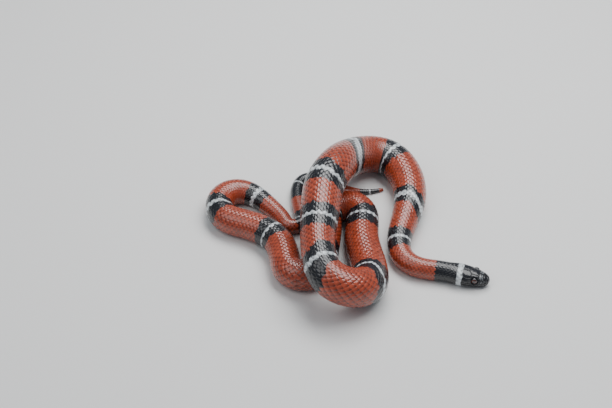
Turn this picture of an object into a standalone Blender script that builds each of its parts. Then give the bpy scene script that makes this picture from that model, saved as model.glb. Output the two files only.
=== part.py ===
"""A milk snake, life size, lying in flat loops with one stretch of its body raised over another."""

import math

import bmesh
import bpy
import numpy as np
from mathutils import Vector

# Units: the sizes below are in millimetres and become metres when a mesh is made.
MM = 0.001

# The plan of the route, from tail tip to neck: name, x, y and the height of the belly over the floor.
# A bend is a round turn: name, centre x, centre y, radius, first angle, last angle, first lift, last lift.
ROUTE = [
    ("tail tip", 47.0, 57.0, 0.0),
    ("tail end", 33.0, 53.5, 0.0),
    ("tail back", 17.5, 57.0, 0.0),
    ("tail cap", 3.5, 64.5, 0.0),
    ("tail top", -7.5, 65.5, 0.0),
    ("tail side", -13.0, 55.0, 0.0),
    ("tail low", -12.0, 38.0, 0.0),
    ("tail bend", -15.6, 22.5, 6.4, 0.0, -180.0, 0.0, 0.0),
    ("tail red", -29.0, 32.0, 0.0),
    ("tail white", -39.0, 42.0, 0.0),
    ("left arch", -51.5, 48.5, 0.0),
    ("left turn", -62.5, 44.5, 0.0),
    ("left side", -66.5, 33.0, 0.0),
    ("left low", -61.0, 21.0, 0.0),
    ("left arm", -49.0, 15.5, 0.0),
    ("left end", -35.0, 8.5, 0.0),
    ("front top", -24.0, -4.0, 0.0),
    ("front bend", -8.4, -21.5, 11.8, 180.0, 360.0, 0.0, 0.0),
    ("under", 5.2, -3.0, 0.0),
    ("under end", 6.4, 9.0, 0.0),
    ("inner bend", 19.0, 20.0, 12.6, 180.0, 0.0, 0.0, 0.0),
    ("right arm", 30.6, 5.0, 0.0),
    ("right red", 32.0, -11.0, 0.0),
    ("right ring", 34.8, -26.0, 0.0),
    ("fore bend", 18.8, -39.2, 16.4, 0.0, -180.0, 1.0, 22.0),
    ("over", 1.0, -26.0, 23.5),
    ("over mid", 1.8, -10.0, 23.0),
    ("over end", 3.4, 8.0, 24.2),
    ("back red", 6.0, 25.0, 25.6),
    ("back ring", 13.6, 43.0, 25.5),
    ("arch left", 24.0, 66.5, 11.5),
    ("arch top", 38.5, 80.5, 1.0),
    ("arch right", 51.5, 79.0, 0.0),
    ("far red", 61.0, 65.5, 0.0),
    ("far side", 64.8, 48.0, 0.0),
    ("far ring", 63.6, 32.0, 0.0),
    ("neck back", 59.5, 17.0, 0.0),
    ("neck left", 56.0, 3.0, 0.0),
    ("neck low", 56.6, -12.0, 0.0),
    ("neck front", 66.0, -22.5, 0.0),
    ("neck end", 79.0, -25.5, 0.0),
    ("head base", 86.0, -27.0, 0.0),
]

# Half the width of the body at stops on the route, in millimetres.
GIRTH = {
    "tail tip": 0.9,
    "tail end": 2.2,
    "tail back": 3.2,
    "tail cap": 3.9,
    "tail side": 4.6,
    "tail bend": 5.1,
    "tail red": 6.0,
    "tail white": 7.4,
    "left arch": 8.7,
    "left turn": 9.3,
    "left arm": 9.8,
    "front bend": 10.4,
    "under": 10.9,
    "inner bend": 10.9,
    "right ring": 11.6,
    "fore bend": 13.1,
    "over": 10.4,
    "over mid": 12.4,
    "over end": 13.4,
    "back red": 13.6,
    "arch top": 13.0,
    "far side": 11.6,
    "far ring": 10.6,
    "neck back": 9.2,
    "neck low": 7.4,
    "neck front": 6.9,
    "head base": 6.7,
}

# The middle of the finished model's box in the route's plan, which becomes the origin.
CENTRE_X = 19.1
CENTRE_Y = 12.8

BEND_STEP_DEG = 30.0
CURVE_SAMPLES = 8000
LINE_STEP = 0.5
PLAN_SOFTNESS = 3.0
LIFT_SOFTNESS = 8.0
GIRTH_SOFTNESS = 10.0

BELLY = 0.86
DORSAL_STEPS = 8
RING_STEP = 7.0
RING_TURN = 0.4
PINCH = 0.93
GAP = 0.3
TIP_LENGTH = 1.6

TAIL_LENGTHS = 4
BODY_LENGTHS = 12
NECK_LENGTHS = 2
VENT_STOP = "left turn"
NECK_STOP = "far ring"
STRAIGHT_SHARE = 0.025
SHARP_DEG = 40.0

# The head, in millimetres from the tip of the snout back: distance, half width, top, bottom.
HEAD_LENGTH = 28.0
HEAD_STATIONS = [
    (0.0, 1.7, 5.9, 2.9),
    (0.5, 2.9, 6.7, 2.0),
    (1.5, 3.9, 7.5, 1.2),
    (3.0, 4.8, 8.3, 0.6),
    (5.5, 5.7, 9.3, 0.2),
    (8.5, 6.5, 10.3, 0.0),
    (12.0, 7.2, 11.0, 0.0),
    (16.0, 7.8, 11.5, 0.0),
    (20.0, 7.9, 11.9, 0.0),
    (24.0, 7.3, 12.2, 0.0),
    (28.0, 6.7, 12.46, 0.0),
]
HEAD_ROUNDNESS = 2.3
HEAD_WIDEST = 0.44
HEAD_TO_NECK = 19.0
HEAD_RINGS = 28
HEAD_CROWDING = 1.35
HEAD_SIDE_STEPS = 13
MOUTH_TO = 17.5
MOUTH_HEIGHT = 3.1
MOUTH_RISE = 1.5
MOUTH_DEPTH = 0.45
MOUTH_WIDTH = 0.45
MOUTH_FADE = 3.0
MOUTH_REACH = 1.2
MOUTH_STEPS = 14
MOUTH_CROWDING = 1.4
MOUTH_END = 0.15
EYE_BACK = 9.3
EYE_HEIGHT = 7.1
EYE_RADIUS = 2.1
EYE_DEPTH = 1.6
EYE_SINK = 1.1
EYE_SEGMENTS = 24
EYE_RINGS = 14
NOSTRIL_BACK = 2.4
NOSTRIL_HEIGHT = 5.6
NOSTRIL_RADIUS = 0.5
NOSTRIL_DEPTH = 0.8
NOSTRIL_OUT = 0.3
NOSTRIL_SEGMENTS = 12
NOSTRIL_RINGS = 8

TAIL_COLOUR = (0.50, 0.08, 0.04)
BODY_COLOUR = (0.46, 0.07, 0.035)
NECK_COLOUR = (0.42, 0.065, 0.035)
HEAD_COLOUR = (0.03, 0.03, 0.035)
EYE_COLOUR = (0.02, 0.012, 0.01)
SCALE_ROUGHNESS = 0.3
EYE_ROUGHNESS = 0.08


def clear_scene():
    for thing in list(bpy.data.objects):
        bpy.data.objects.remove(thing, do_unlink=True)


def plain_material(name, colour, roughness):
    """One finish for one sub-part."""
    material = bpy.data.materials.new(name)
    material.use_nodes = True
    shader = material.node_tree.nodes["Principled BSDF"]
    shader.inputs["Base Color"].default_value = (*colour, 1.0)
    shader.inputs["Roughness"].default_value = roughness
    shader.inputs["Metallic"].default_value = 0.0
    return material


def route_points():
    """The stops of the route with each bend written out as points on its arc."""
    names = []
    points = []
    for stop in ROUTE:
        if len(stop) == 4:
            names.append(stop[0])
            points.append(stop[1:])
            continue
        name, x, y, radius, first, last, low, high = stop
        steps = round(abs(last - first) / BEND_STEP_DEG)
        for k in range(steps + 1):
            share = k / steps
            angle = math.radians(first + (last - first) * share)
            names.append(name if 2 * k == steps else f"{name} {k}")
            lift = low + (high - low) * share
            points.append((x + radius * math.cos(angle), y + radius * math.sin(angle), lift))
    return names, np.array(points)


def natural_spline(points, count):
    """A smooth curve through the points, by a natural cubic spline over the root of the chord lengths."""
    knots = np.concatenate([[0.0], np.cumsum(np.linalg.norm(np.diff(points[:, :2], axis=0), axis=1) ** 0.5)])
    width = np.diff(knots)
    size = len(points)
    system = np.eye(size)
    right = np.zeros(points.shape)
    for i in range(1, size - 1):
        system[i, i - 1 : i + 2] = (width[i - 1], 2.0 * (width[i - 1] + width[i]), width[i])
        right[i] = 6.0 * ((points[i + 1] - points[i]) / width[i] - (points[i] - points[i - 1]) / width[i - 1])
    second = np.linalg.solve(system, right)
    at = np.linspace(0.0, knots[-1], count)
    k = np.clip(np.searchsorted(knots, at, side="right") - 1, 0, size - 2)
    after = (at - knots[k])[:, None]
    before = (knots[k + 1] - at)[:, None]
    span = width[k][:, None]
    curve = (second[k] * before**3 + second[k + 1] * after**3) / (6.0 * span)
    curve += (points[k] / span - second[k] * span / 6.0) * before
    curve += (points[k + 1] / span - second[k + 1] * span / 6.0) * after
    return curve, knots, at


def softened(values, softness, odd):
    """Values along the line, blurred over a distance in millimetres."""
    reach = int(4.0 * softness / LINE_STEP)
    offsets = np.arange(-reach, reach + 1) * LINE_STEP
    weights = np.exp(-0.5 * (offsets / softness) ** 2)
    weights /= weights.sum()
    kind = {"mode": "reflect", "reflect_type": "odd"} if odd else {"mode": "edge"}
    return np.convolve(np.pad(values, reach, **kind), weights, "valid")


class Body:
    """The line of the body: arc length, centre, half width, directions and curvature."""

    def __init__(self):
        names, points = route_points()
        curve, knots, at = natural_spline(points, CURVE_SAMPLES)
        along = np.concatenate([[0.0], np.cumsum(np.linalg.norm(np.diff(curve[:, :2], axis=0), axis=1))])
        stops = np.interp(knots, at, along)
        count = int(round(along[-1] / LINE_STEP))
        self.s = np.linspace(0.0, along[-1], count + 1)
        self.stop = dict(zip(names, stops))
        plan = [softened(np.interp(self.s, along, curve[:, k]), PLAN_SOFTNESS, True) for k in range(2)]
        girth_at = [self.stop[name] for name in GIRTH]
        self.r = softened(np.interp(self.s, girth_at, list(GIRTH.values())), GIRTH_SOFTNESS, False)
        lift = softened(np.interp(self.s, stops, points[:, 2]), LIFT_SOFTNESS, False)
        self.lift = np.where(lift < 0.02, 0.0, lift)
        tip = np.clip(self.s / TIP_LENGTH, 0.02, 1.0)
        self.r = self.r * np.sqrt(1.0 - (1.0 - tip) ** 2)
        height = BELLY * self.r + self.lift
        self.centre = np.column_stack([plan[0] - CENTRE_X, plan[1] - CENTRE_Y, height])
        tangent = np.gradient(self.centre, self.s, axis=0)
        self.tangent = tangent / np.linalg.norm(tangent, axis=1)[:, None]
        bend = np.gradient(self.tangent, self.s, axis=0)
        self.curvature = np.linalg.norm(bend, axis=1)
        self.inward = bend / np.maximum(self.curvature, 1e-9)[:, None]
        side = np.cross(self.tangent, (0.0, 0.0, 1.0))
        self.side = side / np.linalg.norm(side, axis=1)[:, None]
        self.up = np.cross(self.side, self.tangent)

    def at(self, values, s):
        if values.ndim == 1:
            return float(np.interp(s, self.s, values))
        return np.array([np.interp(s, self.s, values[:, k]) for k in range(values.shape[1])])

    def ring(self, s, angles):
        """One ring of points round the body, its belly flat and pinched on the inside of a tight bend."""
        centre = self.at(self.centre, s)
        radius = self.at(self.r, s)
        side = self.at(self.side, s)
        up = self.at(self.up, s)
        inward = self.at(self.inward, s)
        limit = PINCH / max(self.at(self.curvature, s), 1e-6)
        on_floor = self.at(self.lift, s) == 0.0
        points = []
        for angle in angles:
            height = max(math.cos(angle), -BELLY)
            offset = radius * (math.sin(angle) * side + height * up)
            over = float(offset @ inward) - limit
            if over > 0.0:
                offset = offset - over * inward
            point = centre + offset
            if on_floor and height == -BELLY:
                point[2] = 0.0
            points.append(point)
        return points


def ring_angles():
    """Angles round the body from the top, with the two edges of the flat belly among them."""
    edge = math.pi - math.acos(BELLY)
    right = [edge * k / DORSAL_STEPS for k in range(DORSAL_STEPS + 1)]
    return right + [math.pi] + [2.0 * math.pi - a for a in reversed(right[1:])]


def ring_places(body, first, last):
    """Arc lengths of the rings between two cuts, closer together where the body bends."""
    inside = (body.s > first) & (body.s < last)
    s = np.concatenate([[first], body.s[inside], [last]])
    density = 1.0 / RING_STEP + np.interp(s, body.s, body.curvature) / RING_TURN
    measure = np.concatenate([[0.0], np.cumsum(0.5 * (density[1:] + density[:-1]) * np.diff(s))])
    count = max(3, math.ceil(measure[-1]))
    return np.interp(np.linspace(0.0, measure[-1], count + 1), measure, s)


def mesh_from_rings(name, rings, material):
    """A closed body lofted through rings of points, with a flat face at each end."""
    work = bmesh.new()
    made = [[work.verts.new(Vector(point) * MM) for point in ring] for ring in rings]
    size = len(made[0])
    for back, front in zip(made, made[1:]):
        for k in range(size):
            after = (k + 1) % size
            work.faces.new((back[k], back[after], front[after], front[k]))
    work.faces.new(list(reversed(made[0])))
    work.faces.new(made[-1])
    bmesh.ops.recalc_face_normals(work, faces=work.faces)
    mesh = bpy.data.meshes.new(name)
    work.to_mesh(mesh)
    work.free()
    mesh.materials.append(material)
    thing = bpy.data.objects.new(name, mesh)
    bpy.context.scene.collection.objects.link(thing)
    return thing


def smooth(thing):
    thing.data.shade_smooth()
    thing.data.set_sharp_from_angle(angle=math.radians(SHARP_DEG))


def cut_places(body, first, last, count):
    """Arc lengths that share a stretch into lengths of like size and like bend."""
    inside = (body.s >= first) & (body.s <= last)
    s = body.s[inside]
    density = STRAIGHT_SHARE + body.curvature[inside]
    measure = np.concatenate([[0.0], np.cumsum(0.5 * (density[1:] + density[:-1]) * np.diff(s))])
    return np.interp(np.linspace(0.0, measure[-1], count + 1), measure, s)


def make_lengths(body):
    """The tail, body and neck, each in a few lengths that meet face to face."""
    vent = body.stop[VENT_STOP]
    neck = body.stop[NECK_STOP]
    end = body.stop["head base"]
    groups = (
        ("tail", 0.0, vent, TAIL_LENGTHS, TAIL_COLOUR),
        ("body", vent, neck, BODY_LENGTHS, BODY_COLOUR),
        ("neck", neck, end, NECK_LENGTHS, NECK_COLOUR),
    )
    angles = ring_angles()
    for group, first, last, count, colour in groups:
        cuts = cut_places(body, first, last, count)
        for k in range(count):
            start = cuts[k] + (GAP / 2.0 if cuts[k] > 0.0 else 0.0)
            stop = cuts[k + 1] - GAP / 2.0
            name = f"{group}_{k + 1:02d}"
            material = plain_material(f"{name}_scales", colour, SCALE_ROUGHNESS)
            rings = [body.ring(s, angles) for s in ring_places(body, start, stop)]
            smooth(mesh_from_rings(name, rings, material))


def head_profile(back):
    """Half width, top and bottom of the head at a distance behind the tip of the snout."""
    stations = np.array(HEAD_STATIONS)
    return [float(np.interp(back, stations[:, 0], stations[:, k])) for k in (1, 2, 3)]


def mouth_height(back):
    return MOUTH_HEIGHT + MOUTH_RISE * (back / MOUTH_TO) ** 2


def head_point(back, angle):
    """Side and height of a point on the head, from its distance behind the snout and angle from the top."""
    half, top, bottom = head_profile(back)
    middle = bottom + HEAD_WIDEST * (top - bottom)
    power = 2.0 / HEAD_ROUNDNESS
    sine = math.sin(angle)
    cosine = math.cos(angle)
    side = half * math.copysign(abs(sine) ** power, sine)
    rise = (top - middle) if cosine > 0.0 else (middle - bottom)
    height = middle + rise * math.copysign(abs(cosine) ** power, cosine)
    blend = max(0.0, (back - HEAD_TO_NECK) / (HEAD_LENGTH - HEAD_TO_NECK)) ** 2
    neck = GIRTH["head base"]
    neck_side = neck * math.sin(angle)
    neck_height = neck * (BELLY + max(math.cos(angle), -BELLY))
    side = side + blend * (neck_side - side)
    height = height + blend * (neck_height - height)
    return side, height


def head_frame(body):
    """The point on the floor below the tip of the snout, and the head's own directions."""
    end = body.stop["head base"]
    base = body.at(body.centre, end)
    ahead = body.at(body.tangent, end)
    ahead[2] = 0.0
    ahead /= np.linalg.norm(ahead)
    side = np.cross(ahead, (0.0, 0.0, 1.0))
    tip = base + (HEAD_LENGTH + GAP / 2.0) * ahead
    tip[2] = 0.0
    return tip, ahead, side


def placed(frame, back, side, height):
    tip, ahead, across = frame
    return tip - back * ahead + side * across + np.array((0.0, 0.0, height))


def head_angles():
    edge = math.pi - math.acos(BELLY)
    right = [edge * k / HEAD_SIDE_STEPS for k in range(HEAD_SIDE_STEPS + 1)]
    return right + [math.pi] + [2.0 * math.pi - a for a in reversed(right[1:])]


def jaw_outline():
    """The edge of the lips in plan, as distance back and side, from the right corner round to the left."""
    backs = [MOUTH_TO * (1.0 - k / MOUTH_STEPS) ** MOUTH_CROWDING for k in range(MOUTH_STEPS + 1)]
    right = [(back, head_profile(back)[0]) for back in backs]
    return right + [(0.0, 0.0)] + [(back, -half) for back, half in reversed(right)]


def mouth_cutter(frame):
    """A thin wedge bent round the snout and along both jaws, just under the upper lip."""
    outline = jaw_outline()
    rings = []
    for k, (back, side) in enumerate(outline):
        before = outline[max(k - 1, 0)]
        after = outline[min(k + 1, len(outline) - 1)]
        out = Vector((after[1] - before[1], before[0] - after[0])).normalized()
        height = mouth_height(back)
        fade = min(1.0, (MOUTH_TO - back) / MOUTH_FADE + MOUTH_END)
        depth = MOUTH_DEPTH * fade
        gape = MOUTH_WIDTH * (MOUTH_REACH + depth) / (2.0 * MOUTH_DEPTH)
        inner = placed(frame, back - depth * out.x, side - depth * out.y, height)
        upper = placed(frame, back + MOUTH_REACH * out.x, side + MOUTH_REACH * out.y, height + gape)
        lower = placed(frame, back + MOUTH_REACH * out.x, side + MOUTH_REACH * out.y, height - gape)
        rings.append([inner, upper, lower])
    return mesh_from_rings("mouth_cut", rings, None)


def head_side_at(back, height):
    """How far out the side of the head is at a height above its middle."""
    angles = np.linspace(0.0, 0.5 * math.pi, 91)
    points = [head_point(back, angle) for angle in angles]
    heights = [point[1] for point in reversed(points)]
    sides = [point[0] for point in reversed(points)]
    return float(np.interp(height, heights, sides))


def ball(name, centre, across, radius, depth, segments, rings, material):
    """A flattened ball whose short axis points across the head."""
    work = bmesh.new()
    bmesh.ops.create_uvsphere(work, u_segments=segments, v_segments=rings, radius=1.0)
    turn = Vector((0.0, 0.0, 1.0)).rotation_difference(Vector(across))
    for vert in work.verts:
        sized = Vector((vert.co.x * radius, vert.co.y * radius, vert.co.z * depth))
        vert.co = (turn @ sized + Vector(centre)) * MM
    mesh = bpy.data.meshes.new(name)
    work.to_mesh(mesh)
    work.free()
    if material:
        mesh.materials.append(material)
    thing = bpy.data.objects.new(name, mesh)
    bpy.context.scene.collection.objects.link(thing)
    return thing


def cut_away(thing, cutter):
    """Takes the cutter's shape out of a body and removes the cutter."""
    modifier = thing.modifiers.new("cut", "BOOLEAN")
    modifier.operation = "DIFFERENCE"
    modifier.solver = "EXACT"
    modifier.object = cutter
    evaluated = thing.evaluated_get(bpy.context.evaluated_depsgraph_get())
    mesh = bpy.data.meshes.new_from_object(evaluated)
    thing.modifiers.clear()
    thing.data = mesh
    bpy.data.objects.remove(cutter, do_unlink=True)


def make_head(body):
    """The head with its mouth line and nostrils, and an eye set in each side."""
    frame = head_frame(body)
    across = frame[2]
    backs = [HEAD_LENGTH * (1.0 - k / HEAD_RINGS) ** HEAD_CROWDING for k in range(HEAD_RINGS + 1)]
    angles = head_angles()
    rings = []
    for back in backs:
        ring = []
        for angle in angles:
            side, height = head_point(back, angle)
            ring.append(placed(frame, back, side, height))
        rings.append(ring)
    head = mesh_from_rings("head", rings, plain_material("head_scales", HEAD_COLOUR, SCALE_ROUGHNESS))
    cut_away(head, mouth_cutter(frame))
    eye_side = head_side_at(EYE_BACK, EYE_HEIGHT) - EYE_SINK
    nostril_side = head_side_at(NOSTRIL_BACK, NOSTRIL_HEIGHT) + NOSTRIL_OUT
    for word, sign in (("left", -1.0), ("right", 1.0)):
        pit = placed(frame, NOSTRIL_BACK, sign * nostril_side, NOSTRIL_HEIGHT)
        pit_size = (NOSTRIL_RADIUS, NOSTRIL_DEPTH, NOSTRIL_SEGMENTS, NOSTRIL_RINGS)
        cut_away(head, ball("pit", pit, across, *pit_size, None))
        place = placed(frame, EYE_BACK, sign * eye_side, EYE_HEIGHT)
        socket_size = (EYE_RADIUS + GAP, EYE_DEPTH + GAP, EYE_SEGMENTS, EYE_RINGS)
        cut_away(head, ball("socket", place, across, *socket_size, None))
        material = plain_material(f"eye_{word}_cornea", EYE_COLOUR, EYE_ROUGHNESS)
        smooth(ball(f"eye_{word}", place, across, EYE_RADIUS, EYE_DEPTH, EYE_SEGMENTS, EYE_RINGS, material))
    smooth(head)


def main():
    clear_scene()
    body = Body()
    make_lengths(body)
    make_head(body)


main()
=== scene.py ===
"""The looks of the milk snake: one skin under overlapping scales, belly plates, head shields and eyes."""

import math

import bpy
import numpy as np
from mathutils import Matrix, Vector


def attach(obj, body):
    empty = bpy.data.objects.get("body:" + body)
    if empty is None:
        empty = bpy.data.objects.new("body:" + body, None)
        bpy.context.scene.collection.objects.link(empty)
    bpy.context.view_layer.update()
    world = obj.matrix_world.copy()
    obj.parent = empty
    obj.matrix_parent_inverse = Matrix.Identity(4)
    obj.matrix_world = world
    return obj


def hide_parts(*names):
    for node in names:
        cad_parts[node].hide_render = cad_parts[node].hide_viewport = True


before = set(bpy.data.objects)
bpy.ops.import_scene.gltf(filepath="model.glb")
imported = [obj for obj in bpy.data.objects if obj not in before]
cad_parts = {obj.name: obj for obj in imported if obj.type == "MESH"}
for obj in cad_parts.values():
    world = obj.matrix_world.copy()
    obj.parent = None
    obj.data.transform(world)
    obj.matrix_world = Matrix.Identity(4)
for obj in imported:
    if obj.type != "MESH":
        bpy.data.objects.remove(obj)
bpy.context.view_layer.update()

# Units: sizes are in millimetres in the frame's own axes and become metres when a mesh is made.
MM = 0.001

# The plan of the route, from tail tip to neck: name, x, y and the height of the belly over the floor.
# A bend is a round turn: name, centre x, centre y, radius, first angle, last angle, first lift, last lift.
ROUTE = [
    ("tail tip", 47.0, 57.0, 0.0),
    ("tail end", 33.0, 53.5, 0.0),
    ("tail back", 17.5, 57.0, 0.0),
    ("tail cap", 3.5, 64.5, 0.0),
    ("tail top", -7.5, 65.5, 0.0),
    ("tail side", -13.0, 55.0, 0.0),
    ("tail low", -12.0, 38.0, 0.0),
    ("tail bend", -15.6, 22.5, 6.4, 0.0, -180.0, 0.0, 0.0),
    ("tail red", -29.0, 32.0, 0.0),
    ("tail white", -39.0, 42.0, 0.0),
    ("left arch", -51.5, 48.5, 0.0),
    ("left turn", -62.5, 44.5, 0.0),
    ("left side", -66.5, 33.0, 0.0),
    ("left low", -61.0, 21.0, 0.0),
    ("left arm", -49.0, 15.5, 0.0),
    ("left end", -35.0, 8.5, 0.0),
    ("front top", -24.0, -4.0, 0.0),
    ("front bend", -8.4, -21.5, 11.8, 180.0, 360.0, 0.0, 0.0),
    ("under", 5.2, -3.0, 0.0),
    ("under end", 6.4, 9.0, 0.0),
    ("inner bend", 19.0, 20.0, 12.6, 180.0, 0.0, 0.0, 0.0),
    ("right arm", 30.6, 5.0, 0.0),
    ("right red", 32.0, -11.0, 0.0),
    ("right ring", 34.8, -26.0, 0.0),
    ("fore bend", 18.8, -39.2, 16.4, 0.0, -180.0, 1.0, 22.0),
    ("over", 1.0, -26.0, 23.5),
    ("over mid", 1.8, -10.0, 23.0),
    ("over end", 3.4, 8.0, 24.2),
    ("back red", 6.0, 25.0, 25.6),
    ("back ring", 13.6, 43.0, 25.5),
    ("arch left", 24.0, 66.5, 11.5),
    ("arch top", 38.5, 80.5, 1.0),
    ("arch right", 51.5, 79.0, 0.0),
    ("far red", 61.0, 65.5, 0.0),
    ("far side", 64.8, 48.0, 0.0),
    ("far ring", 63.6, 32.0, 0.0),
    ("neck back", 59.5, 17.0, 0.0),
    ("neck left", 56.0, 3.0, 0.0),
    ("neck low", 56.6, -12.0, 0.0),
    ("neck front", 66.0, -22.5, 0.0),
    ("neck end", 79.0, -25.5, 0.0),
    ("head base", 86.0, -27.0, 0.0),
]

# Half the width of the body at stops on the route.
GIRTH = {
    "tail tip": 0.9,
    "tail end": 2.2,
    "tail back": 3.2,
    "tail cap": 3.9,
    "tail side": 4.6,
    "tail bend": 5.1,
    "tail red": 6.0,
    "tail white": 7.4,
    "left arch": 8.7,
    "left turn": 9.3,
    "left arm": 9.8,
    "front bend": 10.4,
    "under": 10.9,
    "inner bend": 10.9,
    "right ring": 11.6,
    "fore bend": 13.1,
    "over": 10.4,
    "over mid": 12.4,
    "over end": 13.4,
    "back red": 13.6,
    "arch top": 13.0,
    "far side": 11.6,
    "far ring": 10.6,
    "neck back": 9.2,
    "neck low": 7.4,
    "neck front": 6.9,
    "head base": 6.7,
}

# The place on the plan of the route that lies at the frame's origin.
CENTRE_X = 19.1
CENTRE_Y = 12.8

# The line of the body: the step between the points of a bend and of the line, and the distances over
# which its plan, its lift, its girth and its bends are smoothed, in millimetres.
BEND_STEP_DEG = 30.0
LINE_STEP = 0.5
LINE_POINTS = 8000
PLAN_SOFTNESS = 3.0
LIFT_SOFTNESS = 8.0
GIRTH_SOFTNESS = 10.0
BENT_SOFTNESS = 6.0
LEAST_LIFT = 0.02
LEAST_BEND = 1e-9
LEAST_CURVATURE = 1e-6

# The shape across the body: how low the flat belly lies as share of the half width, how near to the
# middle of a bend the inner side may come, how gently the belly's edge turns, the tip's rounding, and
# the gap before the head.
BELLY = 0.86
PINCH = 0.93
BELLY_EDGE = 0.5
TIP_LENGTH = 1.6
TIP_LEAST = 0.02
GAP = 0.3

# The head, measured back from the tip of the snout: distance, half width, top, bottom.
HEAD_LENGTH = 28.0
HEAD_STATIONS = [
    (0.0, 1.7, 5.9, 2.9),
    (0.5, 2.9, 6.7, 2.0),
    (1.5, 3.9, 7.5, 1.2),
    (3.0, 4.8, 8.3, 0.6),
    (5.5, 5.7, 9.3, 0.2),
    (8.5, 6.5, 10.3, 0.0),
    (12.0, 7.2, 11.0, 0.0),
    (16.0, 7.8, 11.5, 0.0),
    (20.0, 7.9, 11.9, 0.0),
    (24.0, 7.3, 12.2, 0.0),
    (28.0, 6.7, 12.46, 0.0),
]
HEAD_ROUNDNESS = 2.3
HEAD_WIDEST = 0.44
HEAD_SCALED = 19.0

# Triads of black, white and black: the arc length of each from the tail tip in millimetres, how far it
# runs on towards the head on the left and on the right side, how many scales long its white is, how
# wide its black is against the usual width, how far the black is moved on from the white, and how much
# the black runs on at the sides against the white.
TRIADS = [
    (10.0, 0.0, 0.0, 1.0),
    (35.0, 0.0, 0.0, 1.0),
    (67.0, 0.0, 0.0, 1.0, 2.0),
    (104.0, 0.0, 0.0, 1.0),
    (150.0, 0.0, 0.0, 1.9),
    (191.5, 3.0, 0.0, 1.5),
    (237.5, 0.0, 0.0, 1.0),
    (308.0, 0.0, 0.0, 1.0),
    (348.0, 0.0, 0.0, 1.0),
    (388.0, 0.0, 0.0, 1.0),
    (442.5, 9.0, 0.0, 1.0, 1.0, 2.0, 0.5),
    (491.8, -3.0, 0.0, 1.1, 1.0, 0.5, 2.0),
    (523.0, 0.0, 0.0, 1.0),
    (560.3, 0.0, -4.0, 1.3),
    (604.8, 0.0, -15.0, 2.6, 0.9),
    (641.3, 0.0, 0.0, 1.3),
    (686.3, 8.0, 0.0, 1.9, 0.85),
    (723.8, 0.0, 0.0, 1.2),
]
# What a triad has where its row is short.
TRIAD_PLAIN = (0.0, 0.0, 0.0, 1.0, 1.0, 0.0, 1.0)

# Half the black's width in millimetres, its share on the thinnest body, half the white in scales, how far
# the edges wander in scales, and where the black behind the head begins.
BLACK_HALF = 9.2
RING_SMALL = 0.75
WHITE_HALF = 0.32
RAGGED = 0.22
COLLAR_FROM = 761.8

# Scales: rows over the back from each stop on, the angle of the lowest row, how far from the tail tip
# the first one is, and the pitch along the body.
ROWS = [
    ("tail tip", 11),
    ("tail side", 15),
    ("tail white", 23),
    ("front bend", 27),
    ("right ring", 29),
    ("far red", 27),
    ("neck back", 23),
]
LOWEST_ROW_DEG = 143.0
FIRST_SCALE = 1.0
PITCH_LEAST = 1.1
PITCH_GROWTH = 0.22
PITCH_CROWDING = 0.25

# One scale: its size against the pitch, its outline, and its depth, crown and thickness as shares of it.
SCALE_LONG = 1.75
SCALE_WIDE = 0.97
SCALE_POINTS = 14
SCALE_LEAN = 1.05
SCALE_BLUNT = 0.8
STRETCH_POWER = 0.6
STRETCH_REACH = 0.5
DEPTH_SHARE = 0.085
CROWN_SHARE = 0.095
SINK = 1.3
THICK_SHARE = 0.030
SCALE_RINGS = (1.0, 0.8, 0.42)

# The belly plates, from near the tail tip to under the head, the split under the tail, and how many
# scales one mesh holds.
BELLY_HALF_DEG = 34.0
BELLY_LONG = 1.3
BELLY_POINTS = 24
BELLY_ROUND = 0.45
BELLY_FROM = 2.0
BELLY_TO = 12.0
SUBTAIL_SPLIT_DEG = 1.2
PIECE_SCALES = 1600

# The skin's rings and turns, how far the head's rings are moved on, and the cap at the snout.
SKIN_STEP = 2.0
SKIN_HEAD_STEP = 0.35
SKIN_TURNS = 96
RING_NUDGE = 1e-6
CAP = 1.6
CAP_OUT = 0.45

# Shades: the rim of a scale, darkened as painted shade of the gaps between scales, the free tip of a scale,
# where along a scale its colour is read, how light each scale and the belly are, and how light the skin
# between the scales is, which is darkened as painted shade of those gaps.
RIM_PAINTED_SHADE = 0.32
TIP_FROM = 0.5
TIP_DARK = 0.92
BAND_SHARP = 0.65
BAND_AT = 0.7
SCALE_SHADES = (0.86, 1.10)
BELLY_SHADE = 1.15
SKIN_PAINTED_SHADE = 0.35

# The finish: roughness, clear coat and strength of the grain of each material.
LOOKS = {
    "skin_look": (0.5, 0.0, 0.6),
    "scale_look": (0.25, 0.35, 0.3),
    "shield_look": (0.24, 0.3, 0.25),
    "eye_look": (0.06, 1.0, 0.0),
}
COAT_ROUGHNESS = 0.12

# Blotches, gloss and grain: sizes and depth in metres, detail, and how far shade and gloss wander.
BLOTCH_SIZE = 0.005
BLOTCH_DETAIL = 2.0
BLOTCH_SHADES = (0.86, 1.12)
GLOSS_SIZE = 0.0016
GLOSS_DETAIL = 3.0
GLOSS_SWING = 0.22
GRAIN_SIZE = 0.0004
GRAIN_DETAIL = 2.0
GRAIN_DEPTH = 0.00003
NOISE_LOW = 0.3
NOISE_HIGH = 0.7

# The unwrap for baking: the body in a few strips, each scale a small patch at its root.
UV_STRIPS = 4
UV_MARGIN = 0.012
UV_PATCH = 0.003

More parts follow.
